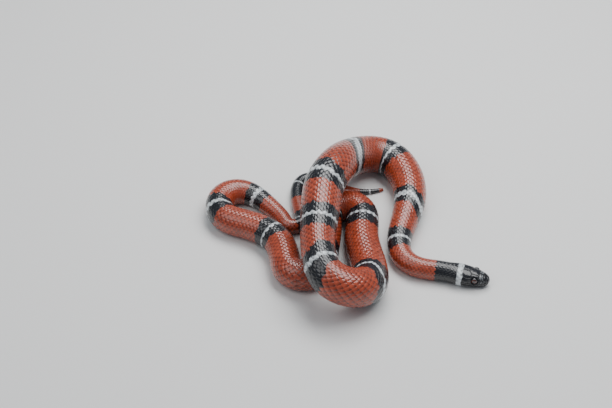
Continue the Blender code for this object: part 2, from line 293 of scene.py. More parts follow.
# The mouth, nostrils and eyes, in millimetres from the tip of the snout back and up from the floor.
MOUTH_TO = 17.5
MOUTH_HEIGHT = 3.1
MOUTH_RISE = 1.5
MOUTH_DEPTH = 0.55
MOUTH_HALF = 0.24
MOUTH_FADE = 3.0
MOUTH_LOOK_DEG = (80.0, 150.0)
MOUTH_LOOKS = 281
LIP_DEG = 2.2
EYE_BACK = 9.3
EYE_HEIGHT = 7.1
EYE_RADIUS = 2.1
EYE_DEPTH = 1.6
EYE_SINK = 1.1
EYE_SEGMENTS = 48
EYE_LOOKS = 181
SOCKET_DEPTH = 1.2
SOCKET_RIM = 0.22
PUPIL_SHARE = 0.46
IRIS_SHARE = 0.86
NOSTRIL_BACK = 2.4
NOSTRIL_HEIGHT = 5.6
NOSTRIL_RADIUS = 0.5
NOSTRIL_DEPTH = 0.7
SIDE_FROM = 1.0

# The shields of one side of the head: corners as distance back and degrees from the top.
# "lip" and "jaw" stand for the angle just over and just under the mouth line.
SHIELDS = {
    "rostral": [(-1.8, -30), (-1.8, 185), (0.05, 185), (0.3, "lip"), (1.1, 60), (1.6, 0), (1.6, -30)],
    "internasal": [(1.6, 0), (1.1, 44), (3.2, 50), (3.6, 24), (3.6, 0)],
    "fore_nasal": [(1.1, 44), (1.1, 70), (2.4, 80), (2.4, 47)],
    "hind_nasal": [(2.4, 47), (2.4, 80), (3.9, 82), (3.9, 52)],
    "prefrontal": [(3.6, 0), (3.6, 24), (3.3, 50), (5.4, 54), (6.9, 40), (6.6, 22), (6.6, 0)],
    "loreal": [(3.9, 53), (3.9, 82), (5.8, 83), (5.6, 55)],
    "preocular": [(5.7, 54), (5.9, 83), (7.1, 84), (6.8, 66), (7.3, 48), (6.9, 42)],
    "supraocular": [(6.7, 23), (7.0, 40), (7.9, 42), (9.3, 36.5), (10.7, 41), (11.7, 42), (11.9, 20)],
    "frontal": [(6.6, -22), (6.6, 22), (9.2, 19.5), (11.8, 17), (13.2, 0), (11.8, -17)],
    "parietal": [(13.2, 0), (11.9, 18), (11.9, 44), (14.2, 50), (17.0, 44), (18.4, 18), (18.0, 0)],
    "upper_postocular": [(11.3, 43), (12.1, 45), (13.3, 63), (11.7, 64)],
    "lower_postocular": [(11.7, 64), (13.3, 63), (13.3, 84), (11.0, 86)],
    "upper_temporal": [(12.1, 45), (14.2, 50), (16.3, 47), (16.3, 67), (13.3, 65)],
    "lower_temporal": [(13.3, 65), (16.3, 67), (16.3, 83), (13.3, 84)],
    "hind_upper_temporal": [(16.3, 47), (17.2, 44), (19.2, 46), (19.2, 65), (16.3, 67)],
    "hind_lower_temporal": [(16.3, 67), (19.2, 65), (19.2, 83), (16.3, 83)],
    "hind_lip": [(17.8, 83), (19.2, 83), (19.2, 97), (17.8, 95)],
    "mental": [(-0.5, "jaw"), (1.0, "jaw"), (1.2, 150), (1.9, 180), (1.9, 200), (-0.5, 200)],
    "fore_chin": [(3.4, 180), (2.7, 143), (4.4, 138), (6.5, 135), (7.8, 150), (8.4, 180)],
    "hind_chin": [(8.4, 180), (7.8, 150), (6.5, 135), (8.6, 133), (11.0, 132), (12.4, 150), (13.2, 172)],
    "fore_gular": [(11.0, 132), (13.6, 131), (13.6, 147), (12.4, 150)],
    "mid_gular": [(13.6, 131), (16.4, 130), (16.4, 146), (13.6, 147)],
    "hind_gular": [(16.4, 130), (19.2, 129), (19.2, 146), (16.4, 146)],
}

# Where the lip plates part, above and below the mouth, and the corners of the first lower one.
UPPER_LIP = [
    (0.3, 100), (1.1, 70), (2.6, 80), (4.6, 82), (7.1, 84),
    (9.3, 90), (11.4, 86), (14.4, 84), (17.8, 83),
]
LOWER_LIP = [
    (1.0, 150), (2.7, 143), (4.4, 138), (6.5, 135), (8.6, 133),
    (11.0, 132), (13.6, 131), (16.4, 130), (19.2, 129),
]
FIRST_LOWER_LIP = [(1.0, "jaw"), (2.7, "jaw"), (2.7, 143), (3.4, 180), (1.9, 180), (1.0, 150)]

# The shell of shields: where it begins and ends, its grid, and its seams, crown and thickness.
SHIELD_FROM = -1.6
SHIELD_TO = 19.6
SHIELD_STEP = 0.15
SHIELD_TURNS = 320
SHIELD_SEAM = 0.02
SHIELD_EDGE = 0.20
SHIELD_CROWN = 0.09
SHIELD_CROWN_EDGE = 1.5
SHIELD_BURIED = 0.12
SHIELD_THICK = 0.45

# The pale band behind the head's shields, and the pale flecks on the snout.
NAPE_FROM = 17.6
NAPE_TO = 21.2
NAPE_ROOTS = 17.2
NAPE_RIPPLES = ((0.3, 5.0, 0.4), (0.12, 13.0, 1.0))
FLECKED = (
    "prefrontal", "loreal", "fore_nasal", "hind_nasal",
    "upper_lip_2", "upper_lip_3", "upper_lip_4",
)
FLECK_EDGE = 0.22
FLECK_FADE = 0.3
FLECK_SEED = 11
FLECK_WAVES = 9
FLECK_WAVE_RANGE = (3.5, 10.0)
FLECK_WAVE_SIZE = 0.5
FLECK_LIGHT = 0.32

# Colours, as linear red, green and blue.
RED = (0.36, 0.056, 0.024)
BLACK = (0.007, 0.008, 0.012)
WHITE = (0.60, 0.64, 0.66)
IRIS = (0.075, 0.016, 0.008)
FLOOR = (0.74, 0.74, 0.73)
SKY = (0.80, 0.86, 0.95)

# The studio, in metres and watts: each light's place, width, height and power; all face the middle.
LIGHTS = {
    "key": ((0.26, 0.20, 0.78), 0.8, 0.5, 8.2),
    "spark": ((-0.04, 0.46, 0.70), 0.3, 0.3, 2.0),
    "fill": ((-0.5, -0.2, 0.8), 0.6, 0.6, 2.4),
}
SKY_STRENGTH = 0.32
FLOOR_SIZE = 8.0
FLOOR_ROUGHNESS = 0.8

# The camera, in metres and degrees, and the pixels by which the target lies off the middle of the picture.
TARGET = (-0.0191, -0.0128, 0.014)
DISTANCE = 0.963
ELEVATION_DEG = 45.0
LENS = 85.0
SENSOR = 36.0
NEAR = 0.01
FAR = 20.0
OFF_RIGHT = 10.0
OFF_DOWN = 30.0
PICTURE_WIDTH = 612.0

# The seed of the ragged edges of the rings and of the shades of the scales.
SEED = 7


def route_points():
    """The stops of the route with each bend written out as points on its arc."""
    names = []
    points = []
    for stop in ROUTE:
        if len(stop) == 4:
            names.append(stop[0])
            points.append(stop[1:])
            continue
        name, x, y, radius, first, last, low, high = stop
        steps = round(abs(last - first) / BEND_STEP_DEG)
        for k in range(steps + 1):
            share = k / steps
            angle = math.radians(first + (last - first) * share)
            names.append(name if 2 * k == steps else f"{name} {k}")
            lift = low + (high - low) * share
            points.append((x + radius * math.cos(angle), y + radius * math.sin(angle), lift))
    return names, np.array(points)


def natural_spline(points, count):
    """A smooth curve through the points, by a natural cubic spline over the root of the chord lengths."""
    knots = np.concatenate([[0.0], np.cumsum(np.linalg.norm(np.diff(points[:, :2], axis=0), axis=1) ** 0.5)])
    width = np.diff(knots)
    size = len(points)
    system = np.eye(size)
    right = np.zeros(points.shape)
    for i in range(1, size - 1):
        system[i, i - 1 : i + 2] = (width[i - 1], 2.0 * (width[i - 1] + width[i]), width[i])
        right[i] = 6.0 * ((points[i + 1] - points[i]) / width[i] - (points[i] - points[i - 1]) / width[i - 1])
    second = np.linalg.solve(system, right)
    at = np.linspace(0.0, knots[-1], count)
    k = np.clip(np.searchsorted(knots, at, side="right") - 1, 0, size - 2)
    after = (at - knots[k])[:, None]
    before = (knots[k + 1] - at)[:, None]
    span = width[k][:, None]
    curve = (second[k] * before**3 + second[k + 1] * after**3) / (6.0 * span)
    curve += (points[k] / span - second[k] * span / 6.0) * before
    curve += (points[k + 1] / span - second[k + 1] * span / 6.0) * after
    return curve, knots, at


def softened(values, softness, odd):
    """Values along the line, blurred over a distance in millimetres."""
    reach = int(4.0 * softness / LINE_STEP)
    offsets = np.arange(-reach, reach + 1) * LINE_STEP
    weights = np.exp(-0.5 * (offsets / softness) ** 2)
    weights /= weights.sum()
    kind = {"mode": "reflect", "reflect_type": "odd"} if odd else {"mode": "edge"}
    return np.convolve(np.pad(values, reach, **kind), weights, "valid")


def interpolated(at, known, values):
    """Rows of values at places along the line."""
    return np.stack([np.interp(at, known, values[:, k]) for k in range(values.shape[1])], axis=-1)


def smooth_share(x):
    """From 0 to 1 with no corner at either end."""
    x = np.clip(x, 0.0, 1.0)
    return x * x * (3.0 - 2.0 * x)


class Body:
    """The line of the body and the surface round it, for any arc length, angle from the back and height."""

    def __init__(self):
        names, points = route_points()
        curve, knots, at = natural_spline(points, LINE_POINTS)
        along = np.concatenate([[0.0], np.cumsum(np.linalg.norm(np.diff(curve[:, :2], axis=0), axis=1))])
        stops = np.interp(knots, at, along)
        count = int(round(along[-1] / LINE_STEP))
        self.s = np.linspace(0.0, along[-1], count + 1)
        self.stop = dict(zip(names, stops))
        plan = [softened(np.interp(self.s, along, curve[:, k]), PLAN_SOFTNESS, True) for k in range(2)]
        girth_at = [self.stop[name] for name in GIRTH]
        self.r = softened(np.interp(self.s, girth_at, list(GIRTH.values())), GIRTH_SOFTNESS, False)
        lift = softened(np.interp(self.s, stops, points[:, 2]), LIFT_SOFTNESS, False)
        self.lift = np.where(lift < LEAST_LIFT, 0.0, lift)
        tip = np.clip(self.s / TIP_LENGTH, TIP_LEAST, 1.0)
        self.r = self.r * np.sqrt(1.0 - (1.0 - tip) ** 2)
        height = BELLY * self.r + self.lift
        self.centre = np.column_stack([plan[0] - CENTRE_X, plan[1] - CENTRE_Y, height])
        tangent = np.gradient(self.centre, self.s, axis=0)
        self.tangent = tangent / np.linalg.norm(tangent, axis=1)[:, None]
        bend = np.gradient(self.tangent, self.s, axis=0)
        self.curvature = np.linalg.norm(bend, axis=1)
        self.inward = bend / np.maximum(self.curvature, LEAST_BEND)[:, None]
        self.bent = softened(np.clip(self.curvature * self.r, 0.0, 1.0), BENT_SOFTNESS, False)
        side = np.cross(self.tangent, (0.0, 0.0, 1.0))
        self.side = side / np.linalg.norm(side, axis=1)[:, None]
        self.up = np.cross(self.side, self.tangent)
        self.end = self.s[-1]
        ahead = self.tangent[-1] * (1.0, 1.0, 0.0)
        self.ahead = ahead / np.linalg.norm(ahead)
        self.across = np.cross(self.ahead, (0.0, 0.0, 1.0))
        self.snout = self.centre[-1] * (1.0, 1.0, 0.0) + (HEAD_LENGTH + GAP / 2.0) * self.ahead
        self.head_end = self.end + HEAD_LENGTH + GAP / 2.0

    def body_place(self, s, a, h):
        """A place on the body, whose section is round with a flat belly."""
        centre = interpolated(s, self.s, self.centre)
        side = interpolated(s, self.s, self.side)
        up = interpolated(s, self.s, self.up)
        inward = interpolated(s, self.s, self.inward)
        r = np.interp(s, self.s, self.r)
        limit = PINCH / np.maximum(np.interp(s, self.s, self.curvature), LEAST_CURVATURE)
        edge = math.pi - math.acos(BELLY)
        folded = np.abs(a)
        share = smooth_share((folded - edge + 0.5 * BELLY_EDGE) / BELLY_EDGE)
        lean = np.sign(a) * (folded + (math.pi - folded) * share)
        out = r * np.sin(a) + h * np.sin(lean)
        rise = r * np.maximum(np.cos(a), -BELLY) + h * np.cos(lean)
        offset = out[..., None] * side + rise[..., None] * up
        over = np.maximum(np.sum(offset * inward, axis=-1) - limit, 0.0)
        return centre + offset - over[..., None] * inward

    def head_place(self, back, a, h):
        """A place on the head, by its distance back from the tip of the snout."""
        stations = np.array(HEAD_STATIONS)
        half, top, bottom = (np.interp(back, stations[:, 0], stations[:, k]) for k in (1, 2, 3))
        middle = bottom + HEAD_WIDEST * (top - bottom)
        power = 2.0 / HEAD_ROUNDNESS
        side = half * np.sign(np.sin(a)) * np.abs(np.sin(a)) ** power
        rise = np.where(np.cos(a) > 0.0, top - middle, middle - bottom)
        height = middle + rise * np.sign(np.cos(a)) * np.abs(np.cos(a)) ** power
        blend = np.clip((back - HEAD_SCALED) / (HEAD_LENGTH - HEAD_SCALED), 0.0, 1.0) ** 2
        neck = GIRTH["head base"]
        side = side + blend * (neck * np.sin(a) - side)
        height = height + blend * (neck * (BELLY + np.maximum(np.cos(a), -BELLY)) - height)
        cap = np.clip(1.0 + back / CAP, 0.0, 1.0)
        side = side * cap + h * cap * np.sin(a)
        height = middle + (height - middle) * cap + h * cap * np.cos(a)
        ahead = CAP_OUT * (1.0 - cap * cap) + h * (1.0 - cap) - np.maximum(back, 0.0)
        point = self.snout + ahead[..., None] * self.ahead + side[..., None] * self.across
        point[..., 2] = height
        return point

    def place(self, s, a, h):
        """Points in millimetres from arc length, angle from the top of the back and height off the skin."""
        s, a, h = np.broadcast_arrays(s, a, h)
        a = (a + math.pi) % (2.0 * math.pi) - math.pi
        on_body = self.body_place(np.minimum(s, self.end), a, h)
        on_head = self.head_place(np.clip(self.head_end - s, -CAP, HEAD_LENGTH), a, h)
        return np.where((s > self.end)[..., None], on_head, on_body)

    def girth(self, s):
        """Half the width of the body."""
        return np.interp(s, self.s, self.r)


def add_mesh(name, points, faces, material, tint):
    """One mesh object from points in millimetres, faces and a colour for each point."""
    mesh = bpy.data.meshes.new(name)
    mesh.from_pydata((points * MM).tolist(), [], faces)
    layer = mesh.attributes.new("tint", "FLOAT_COLOR", "POINT")
    full = np.concatenate([tint, np.ones((len(tint), 1))], axis=1)
    layer.data.foreach_set("color", full.astype(np.float32).ravel())
    mesh.materials.append(material)
    mesh.shade_smooth()
    thing = bpy.data.objects.new(name, mesh)
    bpy.context.scene.collection.objects.link(thing)
    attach(thing, "root")
    return thing


def bake_place(body, s, a):
    """Where a place on the skin lies on its unwrap, which runs along the body in a few strips."""
    length = (body.head_end + CAP) / UV_STRIPS
    strip = np.minimum(np.floor(s / length), UV_STRIPS - 1)
    turn = ((a + math.pi) % (2.0 * math.pi)) / (2.0 * math.pi)
    room = 1.0 - 2.0 * UV_MARGIN
    across = (s - strip * length) / length * room + UV_MARGIN
    return across, (strip + turn * room + UV_MARGIN) / UV_STRIPS


def set_bake_map(thing, places):
    """Writes the map for baking from a place for each corner."""
    layer = thing.data.uv_layers.new(name="OFBake")
    layer.data.foreach_set("uv", places.astype(np.float32).ravel())


def corner_points(thing):
    """The point at each corner of each face."""
    corner = np.empty(len(thing.data.loops), dtype=np.int32)
    thing.data.loops.foreach_get("vertex_index", corner)
    return corner


def crowding_at(body, s):
    """How close scales lie in a bend, where the outer side stretches."""
    return 1.0 - PITCH_CROWDING * np.interp(s, body.s, body.bent)


def pitch_at(body, s):
    """The distance between scales of one row."""
    return (PITCH_LEAST + PITCH_GROWTH * body.girth(s)) * crowding_at(body, s)


def nearest_triad(s, a):
    """The nearest triad to each place, how far away its middle is and how far it runs on there."""
    triads = np.array([(*triad, *TRIAD_PLAIN[len(triad):]) for triad in TRIADS])
    left = np.maximum(-np.sin(a), 0.0)[:, None]
    right = np.maximum(np.sin(a), 0.0)[:, None]
    lean = triads[:, 1] * left + triads[:, 2] * right
    away = s[:, None] - triads[:, 0] - lean
    nearest = np.abs(away).argmin(axis=1)
    row = np.arange(len(s))
    return triads[nearest], away[row, nearest], lean[row, nearest]


def band_tint(body, s, a, ragged=0.0):
    """Red, or the black and white of the nearest triad, for places on the body."""
    triad, away, lean = nearest_triad(s, a)
    white_long, black_wide, black_shift, black_lean = triad[:, 3:].T
    off = np.abs(away - (black_lean - 1.0) * lean - black_shift)
    size = RING_SMALL + (1.0 - RING_SMALL) * body.girth(s) / max(GIRTH.values())
    size = size * crowding_at(body, s)
    tint = np.tile(RED, (len(s), 1))
    tint[(off + ragged < BLACK_HALF * size * black_wide) | (s > COLLAR_FROM)] = BLACK
    tint[np.abs(away) < WHITE_HALF * white_long * pitch_at(body, s)] = WHITE
    back = body.head_end - s
    tint[(back > NAPE_FROM) & (back < NAPE_TO)] = WHITE
    return tint


def noise_range(nodes, links, place, size, detail, low, high):
    """A value that wanders from low to high in blotches of about one size in metres."""
    noise = nodes.new("ShaderNodeTexNoise")
    noise.inputs["Scale"].default_value = 1.0 / size
    noise.inputs["Detail"].default_value = detail
    links.new(place, noise.inputs["Vector"])
    spread = nodes.new("ShaderNodeMapRange")
    spread.inputs["From Min"].default_value = NOISE_LOW
    spread.inputs["From Max"].default_value = NOISE_HIGH
    spread.inputs["To Min"].default_value = low
    spread.inputs["To Max"].default_value = high
    links.new(noise.outputs["Fac"], spread.inputs["Value"])
    return spread.outputs["Result"]


def scaled_material(name, roughness, coat, grain):
    """A glossy finish with its colour from the mesh, faint blotches, uneven gloss and a fine grain."""
    material = bpy.data.materials.new(name)
    material.use_nodes = True
    nodes = material.node_tree.nodes
    links = material.node_tree.links
    shader = nodes["Principled BSDF"]
    place = nodes.new("ShaderNodeTexCoord").outputs["Object"]
    colour = nodes.new("ShaderNodeAttribute")
    colour.attribute_name = "tint"
    blotched = nodes.new("ShaderNodeVectorMath")
    blotched.operation = "SCALE"
    shade = noise_range(nodes, links, place, BLOTCH_SIZE, BLOTCH_DETAIL, *BLOTCH_SHADES)
    links.new(colour.outputs["Color"], blotched.inputs[0])
    links.new(shade, blotched.inputs["Scale"])
    links.new(blotched.outputs["Vector"], shader.inputs["Base Color"])
    gloss = (roughness * (1.0 - GLOSS_SWING), roughness * (1.0 + GLOSS_SWING))
    uneven = noise_range(nodes, links, place, GLOSS_SIZE, GLOSS_DETAIL, *gloss)
    links.new(uneven, shader.inputs["Roughness"])
    bump = nodes.new("ShaderNodeBump")
    bump.inputs["Strength"].default_value = grain
    bump.inputs["Distance"].default_value = GRAIN_DEPTH
    links.new(noise_range(nodes, links, place, GRAIN_SIZE, GRAIN_DETAIL, 0.0, 1.0), bump.inputs["Height"])
    links.new(bump.outputs["Normal"], shader.inputs["Normal"])
    shader.inputs["Metallic"].default_value = 0.0
    shader.inputs["Coat Weight"].default_value = coat
    shader.inputs["Coat Roughness"].default_value = COAT_ROUGHNESS
    return material


def scale_outline():
    """The edge of a scale as share of its length from the root and share of its half width."""
    half = SCALE_POINTS // 2
    t = np.linspace(0.0, 1.0, half + 1)
    w = np.sin(math.pi * t**SCALE_LEAN) ** SCALE_BLUNT
    w[0] = 0.0
    w[-1] = 0.0
    return np.concatenate([t, t[-2:0:-1]]), np.concatenate([w, -w[-2:0:-1]])


def belly_outline():
    """The edge of a belly plate, as wide as a strap with round ends."""
    turn = np.linspace(0.0, 2.0 * math.pi, BELLY_POINTS, endpoint=False)
    t = 0.5 - 0.5 * np.sign(np.cos(turn)) * np.abs(np.cos(turn)) ** BELLY_ROUND
    w = np.sign(np.sin(turn)) * np.abs(np.sin(turn)) ** BELLY_ROUND
    return t, w


def plate_faces(count):
    """Faces of one closed plate: a lower edge, then rings that shrink to the middle of the top."""
    rings = len(SCALE_RINGS) + 1
    quads = []
    for ring in range(rings - 1):
        for k in range(count):
            after = (k + 1) % count
            low = ring * count
            quads.append((low + k, low + count + k, low + count + after, low + after))
    top = rings * count
    last = (rings - 1) * count
    tris = [(last + k, top, last + (k + 1) % count) for k in range(count)]
    tris += [((k + 1) % count, top + 1, k) for k in range(count)]
    return np.array(quads), np.array(tris)


def plate_points(outline):
    """The points of one plate: shares of its length and half width, how far out, and which lie below."""
    t_edge, w_edge = outline
    count = len(t_edge)
    shrink = np.repeat((1.0,) + SCALE_RINGS, count)
    t = 0.5 + (np.tile(t_edge, len(SCALE_RINGS) + 1) - 0.5) * shrink
    w = np.tile(w_edge, len(SCALE_RINGS) + 1) * shrink
    under = np.zeros(len(t) + 2)
    under[:count] = 1.0
    under[-1] = 1.0
    return np.append(t, [0.5, 0.5]), np.append(w, [0.0, 0.0]), np.append(shrink, [0.0, 0.0]), under


def plate_places(body, points, s, a, long, half_angle):
    """Where the points of all plates lie, none of them below the floor."""
    t, w, shrink, under = points
    crown = CROWN_SHARE * (1.0 - shrink**2) * (1.0 - under)
    height = pitch_at(body, s)[:, None] * (DEPTH_SHARE * (t - SINK) + crown - THICK_SHARE * under)
    places = body.place(s[:, None] - long[:, None] * t, a[:, None] + half_angle[:, None] * w, height)
    places[..., 2] = np.maximum(places[..., 2], 0.0)
    return places.reshape(-1, 3)


def plate_colours(body, points, s, a, long, ragged, bright):
    """The colours of all plates, darkened at the rim as painted shade of the gaps between them, and dark
    towards the free tip.
    """
    t, _, shrink, _ = points
    at = s[:, None] - long[:, None] * (BAND_SHARP * t + (1.0 - BAND_SHARP) * BAND_AT)
    wide_a, wide_ragged = np.broadcast_arrays(a[:, None], ragged[:, None], at)[:2]
    tint = band_tint(body, at.ravel(), wide_a.ravel(), wide_ragged.ravel())
    # The rim of each plate is darkened as painted shade of the gaps between plates; the dark free tip is the
    # scales' own colour.
    rim = np.where(shrink == 1.0, RIM_PAINTED_SHADE, 1.0)
    free = np.clip((t - TIP_FROM) / (1.0 - TIP_FROM), 0.0, 1.0)
    shade = bright[:, None] * (rim * (1.0 - free * TIP_DARK))[None, :]
    return tint * shade.reshape(-1, 1)


def add_plates(name, body, outline, s, a, long, half_angle, ragged, bright, material):
    """A mesh of many closed plates, each at its own place, rising from a buried root to a free edge."""
    points = plate_points(outline)
    t, w = points[:2]
    places = plate_places(body, points, s, a, long, half_angle)
    colours = plate_colours(body, points, s, a, long, ragged, bright)
    quads, tris = plate_faces(len(outline[0]))
    first = (np.arange(len(s)) * len(t))[:, None, None]
    faces = (quads + first).reshape(-1, 4).tolist() + (tris + first).reshape(-1, 3).tolist()
    thing = add_mesh(name, places, faces, material, colours)
    across, along = bake_place(body, s, a)
    u = across[:, None] + UV_PATCH * (0.5 - t)
    v = along[:, None] + 0.5 * UV_PATCH * w
    corner = corner_points(thing)
    set_bake_map(thing, np.column_stack([u.ravel()[corner], v.ravel()[corner]]))


def stretch_at(body, s, a):
    """How far the surface is stretched along the body on the outside of a bend."""
    gap = body.place(s + STRETCH_REACH, a, 0.0) - body.place(s - STRETCH_REACH, a, 0.0)
    return np.linalg.norm(gap, axis=1) / (2.0 * STRETCH_REACH)


def scale_columns(body, first, last):
    """Arc lengths one pitch apart."""
    columns = [first]
    while columns[-1] < last:
        columns.append(columns[-1] + float(pitch_at(body, columns[-1])))
    return np.array(columns)


def dorsal_places(body):
    """Root, angle and row spacing of each scale over the back and sides."""
    starts = [body.stop[name] for name, _ in ROWS] + [body.head_end - NAPE_ROOTS]
    columns = scale_columns(body, starts[0] + FIRST_SCALE, starts[-1])
    edge = math.radians(LOWEST_ROW_DEG)
    s = []
    a = []
    step = []
    for k, (_, rows) in enumerate(ROWS):
        inside = np.flatnonzero((columns >= starts[k]) & (columns < starts[k + 1]))
        for row in range(rows):
            share = 0.5 * (row % 2)
            at = columns[inside] + share * pitch_at(body, columns[inside])
            s.append(at)
            a.append(np.full(len(at), -edge + 2.0 * edge * row / (rows - 1)))
            step.append(np.full(len(at), 2.0 * edge / (rows - 1)))
    return np.concatenate(s), np.concatenate(a), np.concatenate(step)


def add_dorsal_scales(body, material, rng):
    """All the scales over the back and sides, in a few meshes."""
    s, a, step = dorsal_places(body)
    order = np.argsort(s, kind="stable")
    s, a, step = s[order], a[order], step[order]
    pitch = pitch_at(body, s)
    stretch = np.maximum(stretch_at(body, s, a), 1.0)
    long = SCALE_LONG * pitch / stretch**STRETCH_POWER
    ragged = rng.uniform(-RAGGED, RAGGED, len(s)) * pitch
    shade = rng.uniform(*SCALE_SHADES, len(s))
    for k, first in enumerate(range(0, len(s), PIECE_SCALES)):
        part = slice(first, first + PIECE_SCALES)
        add_plates(
            f"scales_{k + 1:02d}",
            body,
            scale_outline(),
            s[part],
            a[part],
            long[part],
            SCALE_WIDE * step[part],
            ragged[part],
            shade[part],
            material,
        )


def add_belly_plates(body, material, rng):
    """One broad plate at each pitch under the body, and pairs of them under the tail."""
    columns = scale_columns(body, BELLY_FROM, body.head_end - BELLY_TO)
    vent = body.stop["left turn"]
    half = math.radians(BELLY_HALF_DEG)
    split = math.radians(SUBTAIL_SPLIT_DEG)
    tail = columns[columns < vent]
    trunk = columns[columns >= vent]
    s = np.concatenate([tail, tail, trunk])
    turn = 0.5 * (half + split)
    a = np.repeat([math.pi - turn, math.pi + turn, math.pi], [len(tail), len(tail), len(trunk)])
    wide = np.repeat([0.5 * (half - split), half], [2 * len(tail), len(trunk)])
    long = BELLY_LONG * pitch_at(body, s)
    ragged = rng.uniform(-RAGGED, RAGGED, len(s))
    shade = np.full(len(s), BELLY_SHADE)
    add_plates("belly_plates", body, belly_outline(), s, a, long, wide, ragged, shade, material)


def skin_rings(body):
    """Arc lengths of the skin's rings, closer together on the head."""
    trunk = np.linspace(0.0, body.end, math.ceil(body.end / SKIN_STEP) + 1)
    length = HEAD_LENGTH + GAP / 2.0 + CAP
    head = np.linspace(body.end, body.head_end + CAP, math.ceil(length / SKIN_HEAD_STEP) + 1)
    return np.concatenate([trunk, head[1:-1] + RING_NUDGE])


def tube_quads(rows, turns):
    """Faces of a tube of rings of points, row by row."""
    i, j = np.meshgrid(np.arange(rows - 1), np.arange(turns), indexing="ij")
    after = (j + 1) % turns
    low = i * turns
    high = low + turns
    return np.stack([low + j, low + after, high + after, high + j], axis=-1).reshape(-1, 4)


def ring_pairs(first, turns):
    """The points of a ring and the next point after each."""
    k = np.arange(turns)
    return first + k, first + (k + 1) % turns


def fan(one, other, tip):
    """Triangles from a ring to one point."""
    return np.column_stack([one, other, np.full(len(one), tip)]).tolist()


def add_skin(body, flesh, material):
    """The one skin of body and head, which lies below the scales by their depth."""
    rings = skin_rings(body)
    rows = len(rings)
    turns = np.linspace(-math.pi, math.pi, SKIN_TURNS, endpoint=False)
    s, a = np.meshgrid(rings, turns, indexing="ij")
    depth = np.minimum(DEPTH_SHARE * pitch_at(body, s), 0.5 * body.girth(s))
    back = body.head_end - s
    points = body.place(s, a, head_relief(body, back, a) - depth).reshape(-1, 3)
    snout = body.place(np.array([body.head_end + CAP]), 0.0, 0.0)
    points = np.concatenate([points, body.centre[:1], snout])
    low, low_after = ring_pairs(0, SKIN_TURNS)
    high, high_after = ring_pairs((rows - 1) * SKIN_TURNS, SKIN_TURNS)
    faces = tube_quads(rows, SKIN_TURNS).tolist()
    faces += fan(low_after, low, rows * SKIN_TURNS) + fan(high, high_after, rows * SKIN_TURNS + 1)
    tint = band_tint(body, s.ravel(), a.ravel())
    on_head = back.ravel() < HEAD_LENGTH
    tint[on_head] = head_tint(back.ravel()[on_head], a.ravel()[on_head])
    # The skin's colours are darkened here as painted shade in the gaps between the scales.
    skin = add_mesh("skin", points, faces, material, SKIN_PAINTED_SHADE * np.concatenate([tint, tint[[0, -1]]]))
    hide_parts(*flesh)
    all_s = np.append(s.ravel(), [0.0, body.head_end + CAP])
    across, along = bake_place(body, all_s, np.append(a.ravel(), [0.0, 0.0]))
    corner = corner_points(skin)
    set_bake_map(skin, closed_places(skin, np.column_stack([across[corner], along[corner]])))


def closed_places(thing, places):
    """Keeps each face on one side of the unwrap's cuts."""
    counts = np.empty(len(thing.data.polygons), dtype=np.int32)
    thing.data.polygons.foreach_get("loop_total", counts)
    owner = np.repeat(np.arange(len(counts)), counts)
    for axis, period in ((0, 1.0 - 2.0 * UV_MARGIN), (1, (1.0 - 2.0 * UV_MARGIN) / UV_STRIPS)):
        least = np.full(len(counts), np.inf)
        most = np.full(len(counts), -np.inf)
        np.minimum.at(least, owner, places[:, axis])
        np.maximum.at(most, owner, places[:, axis])
        torn = (most - least)[owner] > 0.5 * period
        low = torn & (places[:, axis] < (0.5 * (most + least))[owner])
        places[low, axis] += period
    return places


def head_mid(back):
    """Half width and half height together, for distances round the head."""
    stations = np.array(HEAD_STATIONS)
    half, top, bottom = (np.interp(back, stations[:, 0], stations[:, k]) for k in (1, 2, 3))
    return 0.5 * (half + 0.5 * (top - bottom))


def side_and_height(body, back, a):
    """How far out and how high a place on the head is."""
    point = body.head_place(back, a, np.zeros_like(back))
    return np.abs((point - body.snout) @ body.across), point[..., 2]


def mouth_height(back):
    """How high the mouth line runs, rising a little to the back."""
    return MOUTH_HEIGHT + MOUTH_RISE * (np.clip(back, 0.0, MOUTH_TO) / MOUTH_TO) ** 2


def head_relief(body, back, a):
    """Depth of the mouth line, nostrils and eye sockets below the head's surface."""
    on_head = back < HEAD_LENGTH
    near = np.clip(back, -CAP, HEAD_LENGTH)
    side, height = side_and_height(body, near, a)
    fade = np.clip((MOUTH_TO - near) / MOUTH_FADE, 0.0, 1.0)
    mouth = MOUTH_DEPTH * fade * np.exp(-(((height - mouth_height(near)) / MOUTH_HALF) ** 2))
    from_nostril = np.hypot(near - NOSTRIL_BACK, height - NOSTRIL_HEIGHT)
    nostril = NOSTRIL_DEPTH * (1.0 - smooth_share(from_nostril / NOSTRIL_RADIUS))
    from_eye = np.hypot(near - EYE_BACK, height - EYE_HEIGHT)
    socket = SOCKET_DEPTH * (1.0 - smooth_share((from_eye - EYE_RADIUS + SOCKET_RIM) / (2.0 * SOCKET_RIM)))
    outer = side > SIDE_FROM
    return np.where(on_head, -np.maximum(mouth, np.maximum(nostril, socket) * outer), 0.0)


def mouth_angle(body, back):
    """The angle of the mouth line from the top, in degrees."""
    angles = np.radians(np.linspace(*MOUTH_LOOK_DEG, MOUTH_LOOKS))
    _, height = side_and_height(body, np.full(len(angles), max(back, 0.0)), angles)
    return math.degrees(angles[np.argmin(np.abs(height - mouth_height(back)))])


def all_shields(body):
    """Every shield of one side with its corners as distance back and degrees."""
    shields = dict(SHIELDS)
    for word, line, edge in (("upper", UPPER_LIP, "lip"), ("lower", LOWER_LIP, "jaw")):
        for k, (first, last) in enumerate(zip(line, line[1:])):
            shields[f"{word}_lip_{k + 1}"] = [first, (first[0], edge), (last[0], edge), last]
    shields["lower_lip_1"] = FIRST_LOWER_LIP
    off_line = {"lip": -LIP_DEG, "jaw": LIP_DEG}
    turned = {}
    for name, corners in shields.items():
        turned[name] = []
        for back, angle in corners:
            if angle in off_line:
                angle = mouth_angle(body, back) + off_line[angle]
            turned[name].append((back, angle))
    return turned


